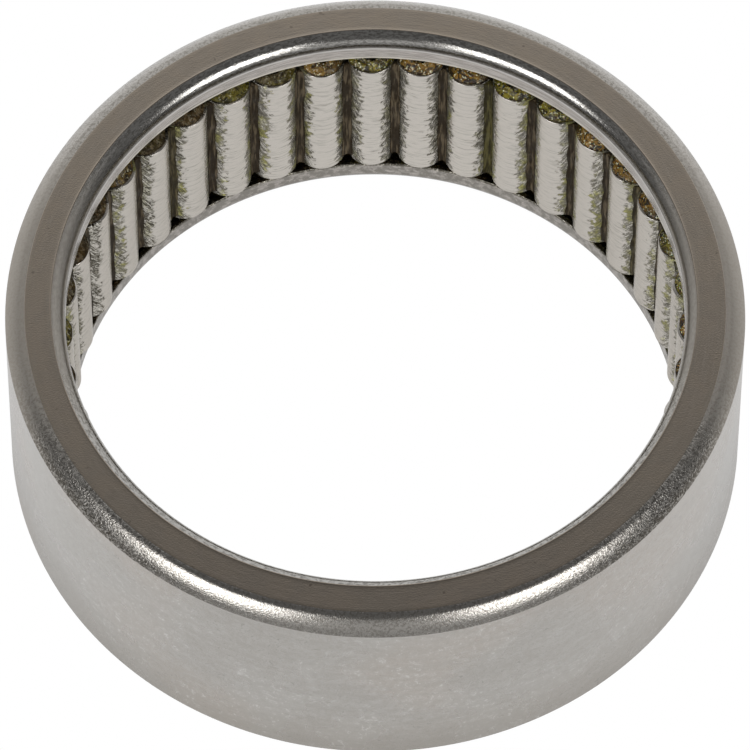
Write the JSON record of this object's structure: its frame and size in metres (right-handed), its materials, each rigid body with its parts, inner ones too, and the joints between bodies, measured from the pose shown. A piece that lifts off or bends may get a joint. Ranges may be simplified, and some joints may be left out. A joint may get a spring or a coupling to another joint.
{
  "type": "needle roller bearing",
  "caption": "Drawn-cup needle roller bearing, open at both ends: a thin steel cup with hooked lips keeps a full ring of trunnioned rollers packed in grease.",
  "frame": {"origin": "centre of the bearing, on its axis, half way between the two faces", "axes": "+Z along the bearing's axis towards the upper face, +X and +Y across it"},
  "size_m": [0.035, 0.035, 0.0126],
  "materials": {
    "cup_steel": "drawn and case-hardened steel: satin, smooth outside, speckled on the rolled corners",
    "roller_steel": "ground hardened steel under a thin film of grease",
    "grease": "olive-brown grease, wet and lumpy"
  },
  "bodies": {
    "cup": {"cup": "cup_steel"},
    "roller_set": {"grease_upper": "grease", "grease_lower": "grease"},
    "roller_01": {"roller_01": "roller_steel"},
    "roller_02": {"roller_02": "roller_steel"},
    "roller_03": {"roller_03": "roller_steel"},
    "roller_04": {"roller_04": "roller_steel"},
    "roller_05": {"roller_05": "roller_steel"},
    "roller_06": {"roller_06": "roller_steel"},
    "roller_07": {"roller_07": "roller_steel"},
    "roller_08": {"roller_08": "roller_steel"},
    "roller_09": {"roller_09": "roller_steel"},
    "roller_10": {"roller_10": "roller_steel"},
    "roller_11": {"roller_11": "roller_steel"},
    "roller_12": {"roller_12": "roller_steel"},
    "roller_13": {"roller_13": "roller_steel"},
    "roller_14": {"roller_14": "roller_steel"},
    "roller_15": {"roller_15": "roller_steel"},
    "roller_16": {"roller_16": "roller_steel"},
    "roller_17": {"roller_17": "roller_steel"},
    "roller_18": {"roller_18": "roller_steel"},
    "roller_19": {"roller_19": "roller_steel"},
    "roller_20": {"roller_20": "roller_steel"},
    "roller_21": {"roller_21": "roller_steel"},
    "roller_22": {"roller_22": "roller_steel"},
    "roller_23": {"roller_23": "roller_steel"},
    "roller_24": {"roller_24": "roller_steel"},
    "roller_25": {"roller_25": "roller_steel"},
    "roller_26": {"roller_26": "roller_steel"},
    "roller_27": {"roller_27": "roller_steel"},
    "roller_28": {"roller_28": "roller_steel"},
    "roller_29": {"roller_29": "roller_steel"},
    "roller_30": {"roller_30": "roller_steel"},
    "roller_31": {"roller_31": "roller_steel"},
    "roller_32": {"roller_32": "roller_steel"},
    "roller_33": {"roller_33": "roller_steel"},
    "roller_34": {"roller_34": "roller_steel"},
    "roller_35": {"roller_35": "roller_steel"},
    "roller_36": {"roller_36": "roller_steel"},
    "roller_37": {"roller_37": "roller_steel"},
    "roller_38": {"roller_38": "roller_steel"},
    "roller_39": {"roller_39": "roller_steel"},
    "roller_40": {"roller_40": "roller_steel"}
  },
  "joints": [
    {"name": "roller_set_orbit", "type": "hinge", "parent": "cup", "child": "roller_set", "pos_m": [0, 0, 0], "axis": [0, 0, 1], "continuous": true},
    {"name": "roller_01_spin", "type": "hinge", "parent": "roller_set", "child": "roller_01", "pos_m": [0.01548, 0.00024, -0.0002], "axis": [0, 0, 1], "continuous": true},
    {"name": "roller_02_spin", "type": "hinge", "parent": "roller_set", "child": "roller_02", "pos_m": [0.01525, 0.00266, -0.0002], "axis": [0, 0, 1], "continuous": true},
    {"name": "roller_03_spin", "type": "hinge", "parent": "roller_set", "child": "roller_03", "pos_m": [0.01464, 0.00501, -0.0002], "axis": [0, 0, 1], "continuous": true},
    {"name": "roller_04_spin", "type": "hinge", "parent": "roller_set", "child": "roller_04", "pos_m": [0.01368, 0.00724, -0.0002], "axis": [0, 0, 1], "continuous": true},
    {"name": "roller_05_spin", "type": "hinge", "parent": "roller_set", "child": "roller_05", "pos_m": [0.01238, 0.00929, -0.0002], "axis": [0, 0, 1], "continuous": true},
    {"name": "roller_06_spin", "type": "hinge", "parent": "roller_set", "child": "roller_06", "pos_m": [0.01077, 0.01112, -0.0002], "axis": [0, 0, 1], "continuous": true},
    {"name": "roller_07_spin", "type": "hinge", "parent": "roller_set", "child": "roller_07", "pos_m": [0.0089, 0.01266, -0.0002], "axis": [0, 0, 1], "continuous": true},
    {"name": "roller_08_spin", "type": "hinge", "parent": "roller_set", "child": "roller_08", "pos_m": [0.00681, 0.0139, -0.0002], "axis": [0, 0, 1], "continuous": true},
    {"name": "roller_09_spin", "type": "hinge", "parent": "roller_set", "child": "roller_09", "pos_m": [0.00455, 0.01479, -0.0002], "axis": [0, 0, 1], "continuous": true},
    {"name": "roller_10_spin", "type": "hinge", "parent": "roller_set", "child": "roller_10", "pos_m": [0.00218, 0.01532, -0.0002], "axis": [0, 0, 1], "continuous": true},
    {"name": "roller_11_spin", "type": "hinge", "parent": "roller_set", "child": "roller_11", "pos_m": [-0.00024, 0.01548, -0.0002], "axis": [0, 0, 1], "continuous": true},
    {"name": "roller_12_spin", "type": "hinge", "parent": "roller_set", "child": "roller_12", "pos_m": [-0.00266, 0.01525, -0.0002], "axis": [0, 0, 1], "continuous": true},
    {"name": "roller_13_spin", "type": "hinge", "parent": "roller_set", "child": "roller_13", "pos_m": [-0.00501, 0.01464, -0.0002], "axis": [0, 0, 1], "continuous": true},
    {"name": "roller_14_spin", "type": "hinge", "parent": "roller_set", "child": "roller_14", "pos_m": [-0.00724, 0.01368, -0.0002], "axis": [0, 0, 1], "continuous": true},
    {"name": "roller_15_spin", "type": "hinge", "parent": "roller_set", "child": "roller_15", "pos_m": [-0.00929, 0.01238, -0.0002], "axis": [0, 0, 1], "continuous": true},
    {"name": "roller_16_spin", "type": "hinge", "parent": "roller_set", "child": "roller_16", "pos_m": [-0.01112, 0.01077, -0.0002], "axis": [0, 0, 1], "continuous": true},
    {"name": "roller_17_spin", "type": "hinge", "parent": "roller_set", "child": "roller_17", "pos_m": [-0.01266, 0.0089, -0.0002], "axis": [0, 0, 1], "continuous": true},
    {"name": "roller_18_spin", "type": "hinge", "parent": "roller_set", "child": "roller_18", "pos_m": [-0.0139, 0.00681, -0.0002], "axis": [0, 0, 1], "continuous": true},
    {"name": "roller_19_spin", "type": "hinge", "parent": "roller_set", "child": "roller_19", "pos_m": [-0.01479, 0.00455, -0.0002], "axis": [0, 0, 1], "continuous": true},
    {"name": "roller_20_spin", "type": "hinge", "parent": "roller_set", "child": "roller_20", "pos_m": [-0.01532, 0.00218, -0.0002], "axis": [0, 0, 1], "continuous": true},
    {"name": "roller_21_spin", "type": "hinge", "parent": "roller_set", "child": "roller_21", "pos_m": [-0.01548, -0.00024, -0.0002], "axis": [0, 0, 1], "continuous": true},
    {"name": "roller_22_spin", "type": "hinge", "parent": "roller_set", "child": "roller_22", "pos_m": [-0.01525, -0.00266, -0.0002], "axis": [0, 0, 1], "continuous": true},
    {"name": "roller_23_spin", "type": "hinge", "parent": "roller_set", "child": "roller_23", "pos_m": [-0.01464, -0.00501, -0.0002], "axis": [0, 0, 1], "continuous": true},
    {"name": "roller_24_spin", "type": "hinge", "parent": "roller_set", "child": "roller_24", "pos_m": [-0.01368, -0.00724, -0.0002], "axis": [0, 0, 1], "continuous": true},
    {"name": "roller_25_spin", "type": "hinge", "parent": "roller_set", "child": "roller_25", "pos_m": [-0.01238, -0.00929, -0.0002], "axis": [0, 0, 1], "continuous": true},
    {"name": "roller_26_spin", "type": "hinge", "parent": "roller_set", "child": "roller_26", "pos_m": [-0.01077, -0.01112, -0.0002], "axis": [0, 0, 1], "continuous": true},
    {"name": "roller_27_spin", "type": "hinge", "parent": "roller_set", "child": "roller_27", "pos_m": [-0.0089, -0.01266, -0.0002], "axis": [0, 0, 1], "continuous": true},
    {"name": "roller_28_spin", "type": "hinge", "parent": "roller_set", "child": "roller_28", "pos_m": [-0.00681, -0.0139, -0.0002], "axis": [0, 0, 1], "continuous": true},
    {"name": "roller_29_spin", "type": "hinge", "parent": "roller_set", "child": "roller_29", "pos_m": [-0.00455, -0.01479, -0.0002], "axis": [0, 0, 1], "continuous": true},
    {"name": "roller_30_spin", "type": "hinge", "parent": "roller_set", "child": "roller_30", "pos_m": [-0.00218, -0.01532, -0.0002], "axis": [0, 0, 1], "continuous": true},
    {"name": "roller_31_spin", "type": "hinge", "parent": "roller_set", "child": "roller_31", "pos_m": [0.00024, -0.01548, -0.0002], "axis": [0, 0, 1], "continuous": true},
    {"name": "roller_32_spin", "type": "hinge", "parent": "roller_set", "child": "roller_32", "pos_m": [0.00266, -0.01525, -0.0002], "axis": [0, 0, 1], "continuous": true},
    {"name": "roller_33_spin", "type": "hinge", "parent": "roller_set", "child": "roller_33", "pos_m": [0.00501, -0.01464, -0.0002], "axis": [0, 0, 1], "continuous": true},
    {"name": "roller_34_spin", "type": "hinge", "parent": "roller_set", "child": "roller_34", "pos_m": [0.00724, -0.01368, -0.0002], "axis": [0, 0, 1], "continuous": true},
    {"name": "roller_35_spin", "type": "hinge", "parent": "roller_set", "child": "roller_35", "pos_m": [0.00929, -0.01238, -0.0002], "axis": [0, 0, 1], "continuous": true},
    {"name": "roller_36_spin", "type": "hinge", "parent": "roller_set", "child": "roller_36", "pos_m": [0.01112, -0.01077, -0.0002], "axis": [0, 0, 1], "continuous": true},
    {"name": "roller_37_spin", "type": "hinge", "parent": "roller_set", "child": "roller_37", "pos_m": [0.01266, -0.0089, -0.0002], "axis": [0, 0, 1], "continuous": true},
    {"name": "roller_38_spin", "type": "hinge", "parent": "roller_set", "child": "roller_38", "pos_m": [0.0139, -0.00681, -0.0002], "axis": [0, 0, 1], "continuous": true},
    {"name": "roller_39_spin", "type": "hinge", "parent": "roller_set", "child": "roller_39", "pos_m": [0.01479, -0.00455, -0.0002], "axis": [0, 0, 1], "continuous": true},
    {"name": "roller_40_spin", "type": "hinge", "parent": "roller_set", "child": "roller_40", "pos_m": [0.01532, -0.00218, -0.0002], "axis": [0, 0, 1], "continuous": true}
  ],
  "couplings": [
    {"joint": "roller_01_spin", "follows": "roller_set_orbit", "ratio": -14},
    {"joint": "roller_02_spin", "follows": "roller_set_orbit", "ratio": -14},
    {"joint": "roller_03_spin", "follows": "roller_set_orbit", "ratio": -14},
    {"joint": "roller_04_spin", "follows": "roller_set_orbit", "ratio": -14},
    {"joint": "roller_05_spin", "follows": "roller_set_orbit", "ratio": -14},
    {"joint": "roller_06_spin", "follows": "roller_set_orbit", "ratio": -14},
    {"joint": "roller_07_spin", "follows": "roller_set_orbit", "ratio": -14},
    {"joint": "roller_08_spin", "follows": "roller_set_orbit", "ratio": -14},
    {"joint": "roller_09_spin", "follows": "roller_set_orbit", "ratio": -14},
    {"joint": "roller_10_spin", "follows": "roller_set_orbit", "ratio": -14},
    {"joint": "roller_11_spin", "follows": "roller_set_orbit", "ratio": -14},
    {"joint": "roller_12_spin", "follows": "roller_set_orbit", "ratio": -14},
    {"joint": "roller_13_spin", "follows": "roller_set_orbit", "ratio": -14},
    {"joint": "roller_14_spin", "follows": "roller_set_orbit", "ratio": -14},
    {"joint": "roller_15_spin", "follows": "roller_set_orbit", "ratio": -14},
    {"joint": "roller_16_spin", "follows": "roller_set_orbit", "ratio": -14},
    {"joint": "roller_17_spin", "follows": "roller_set_orbit", "ratio": -14},
    {"joint": "roller_18_spin", "follows": "roller_set_orbit", "ratio": -14},
    {"joint": "roller_19_spin", "follows": "roller_set_orbit", "ratio": -14},
    {"joint": "roller_20_spin", "follows": "roller_set_orbit", "ratio": -14},
    {"joint": "roller_21_spin", "follows": "roller_set_orbit", "ratio": -14},
    {"joint": "roller_22_spin", "follows": "roller_set_orbit", "ratio": -14},
    {"joint": "roller_23_spin", "follows": "roller_set_orbit", "ratio": -14},
    {"joint": "roller_24_spin", "follows": "roller_set_orbit", "ratio": -14},
    {"joint": "roller_25_spin", "follows": "roller_set_orbit", "ratio": -14},
    {"joint": "roller_26_spin", "follows": "roller_set_orbit", "ratio": -14},
    {"joint": "roller_27_spin", "follows": "roller_set_orbit", "ratio": -14},
    {"joint": "roller_28_spin", "follows": "roller_set_orbit", "ratio": -14},
    {"joint": "roller_29_spin", "follows": "roller_set_orbit", "ratio": -14},
    {"joint": "roller_30_spin", "follows": "roller_set_orbit", "ratio": -14},
    {"joint": "roller_31_spin", "follows": "roller_set_orbit", "ratio": -14},
    {"joint": "roller_32_spin", "follows": "roller_set_orbit", "ratio": -14},
    {"joint": "roller_33_spin", "follows": "roller_set_orbit", "ratio": -14},
    {"joint": "roller_34_spin", "follows": "roller_set_orbit", "ratio": -14},
    {"joint": "roller_35_spin", "follows": "roller_set_orbit", "ratio": -14},
    {"joint": "roller_36_spin", "follows": "roller_set_orbit", "ratio": -14},
    {"joint": "roller_37_spin", "follows": "roller_set_orbit", "ratio": -14},
    {"joint": "roller_38_spin", "follows": "roller_set_orbit", "ratio": -14},
    {"joint": "roller_39_spin", "follows": "roller_set_orbit", "ratio": -14},
    {"joint": "roller_40_spin", "follows": "roller_set_orbit", "ratio": -14}
  ]
}
